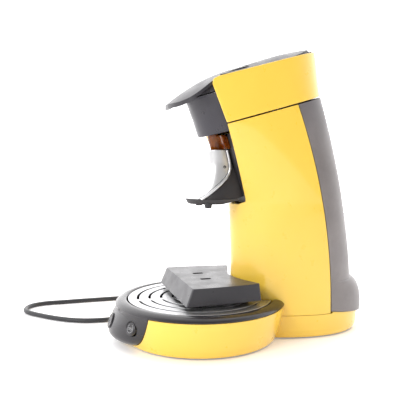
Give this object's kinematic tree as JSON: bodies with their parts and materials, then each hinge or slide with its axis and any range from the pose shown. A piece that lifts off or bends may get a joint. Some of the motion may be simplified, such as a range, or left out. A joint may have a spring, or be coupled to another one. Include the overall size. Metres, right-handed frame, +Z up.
{
  "type": "pod coffee machine",
  "caption": "Curved pod coffee machine: round tray drum, leaning tower with rear tank, canted head, lid with lever, spout and controls.",
  "frame": {"origin": "middle of the machine's footprint, on the surface it stands on, cord left out", "axes": "+Z up; the front, with the buttons and the spout, faces -Y; +X is on the right of someone who looks at its front"},
  "size_m": [0.2842, 0.3941, 0.3208],
  "materials": {
    "yellow_casing": "high gloss, warm yellow",
    "dark_plastic": "fine satin, dark grey",
    "gloss_panel": "polished, dark grey",
    "charcoal_plastic": "matt, charcoal",
    "steel": "brushed",
    "bright_cover": "polished silver",
    "amber_plastic": "translucent brown",
    "smoke_plastic": "frosted translucent grey",
    "rubber": "matt",
    "black_plastic": "matt, black",
    "white_plastic": "plain",
    "circuit_board": "green laminate"
  },
  "bodies": {
    "machine": {"base_plate": "charcoal_plastic", "base_screw_1": "steel", "base_screw_2": "steel", "base_screw_3": "steel", "base_screw_4": "steel", "base_shell": "yellow_casing", "boiler": "steel", "brew_chamber": "dark_plastic", "brew_hose": "white_plastic", "circuit_board": "circuit_board", "collector": "amber_plastic", "control_board": "circuit_board", "head_shell": "yellow_casing", "holder_ledge": "dark_plastic", "inner_frame": "white_plastic", "lid_hinge_pin": "steel", "mains_cord": "black_plastic", "mains_plug": "black_plastic", "niche_wall": "charcoal_plastic", "one_cup_switch": "white_plastic", "pod_holder": "steel", "power_switch": "white_plastic", "pump": "charcoal_plastic", "pump_hose": "white_plastic", "pump_mount": "rubber", "rear_cap": "dark_plastic", "rim_panel": "gloss_panel", "rubber_foot_1": "rubber", "rubber_foot_2": "rubber", "rubber_foot_3": "rubber", "rubber_foot_4": "rubber", "rubber_foot_5": "rubber", "strain_relief": "rubber", "thermostat": "black_plastic", "tower_shell": "yellow_casing", "two_cup_switch": "white_plastic", "valve_seat": "rubber"},
    "lid": {"lid": "dark_plastic", "chamber_seal": "rubber", "water_disc": "steel", "lever_pin": "steel"},
    "lever": {"lever": "dark_plastic"},
    "tank": {"water_tank": "smoke_plastic", "tank_valve": "black_plastic", "tank_float": "white_plastic"},
    "tray": {"drip_tray": "charcoal_plastic"},
    "plate": {"drip_plate": "steel"},
    "stand": {"cup_stand": "dark_plastic"},
    "spout": {"spout_body": "charcoal_plastic", "spout_cover": "bright_cover", "nozzle_left": "black_plastic", "nozzle_right": "black_plastic"},
    "one_cup": {"one_cup_button": "gloss_panel"},
    "power": {"power_button": "gloss_panel"},
    "two_cup": {"two_cup_button": "gloss_panel"}
  },
  "joints": [
    {"name": "lid_hinge", "type": "hinge", "parent": "machine", "child": "lid", "pos_m": [0, 0.06895, 0.3168], "axis": [-1, 0, 0], "range_deg": [0, 80]},
    {"name": "lever_hinge", "type": "hinge", "parent": "lid", "child": "lever", "pos_m": [0, -0.00705, 0.2982], "axis": [-1, 0, 0], "range_deg": [0, 25]},
    {"name": "tank_slide", "type": "slide", "parent": "machine", "child": "tank", "axis": [0, 0.9659, 0.2588], "range_m": [0, 0.12]},
    {"name": "tray_lift", "type": "slide", "parent": "machine", "child": "tray", "axis": [0, 0, 1], "range_m": [0, 0.03]},
    {"name": "plate_lift", "type": "slide", "parent": "tray", "child": "plate", "axis": [0, 0, 1], "range_m": [0, 0.02]},
    {"name": "stand_lift", "type": "slide", "parent": "plate", "child": "stand", "axis": [0, 0, 1], "range_m": [0, 0.02]},
    {"name": "spout_pull", "type": "slide", "parent": "machine", "child": "spout", "axis": [0, -1, 0], "range_m": [0, 0.02]},
    {"name": "one_cup_press", "type": "slide", "parent": "machine", "child": "one_cup", "axis": [0.4269, 0.8379, -0.3401], "range_m": [0, 0.0015], "stiffness_N_per_m": 600},
    {"name": "power_press", "type": "slide", "parent": "machine", "child": "power", "axis": [0, 0.9404, -0.3401], "range_m": [0, 0.0015], "stiffness_N_per_m": 600},
    {"name": "two_cup_press", "type": "slide", "parent": "machine", "child": "two_cup", "axis": [-0.4269, 0.8379, -0.3401], "range_m": [0, 0.0015], "stiffness_N_per_m": 600}
  ]
}
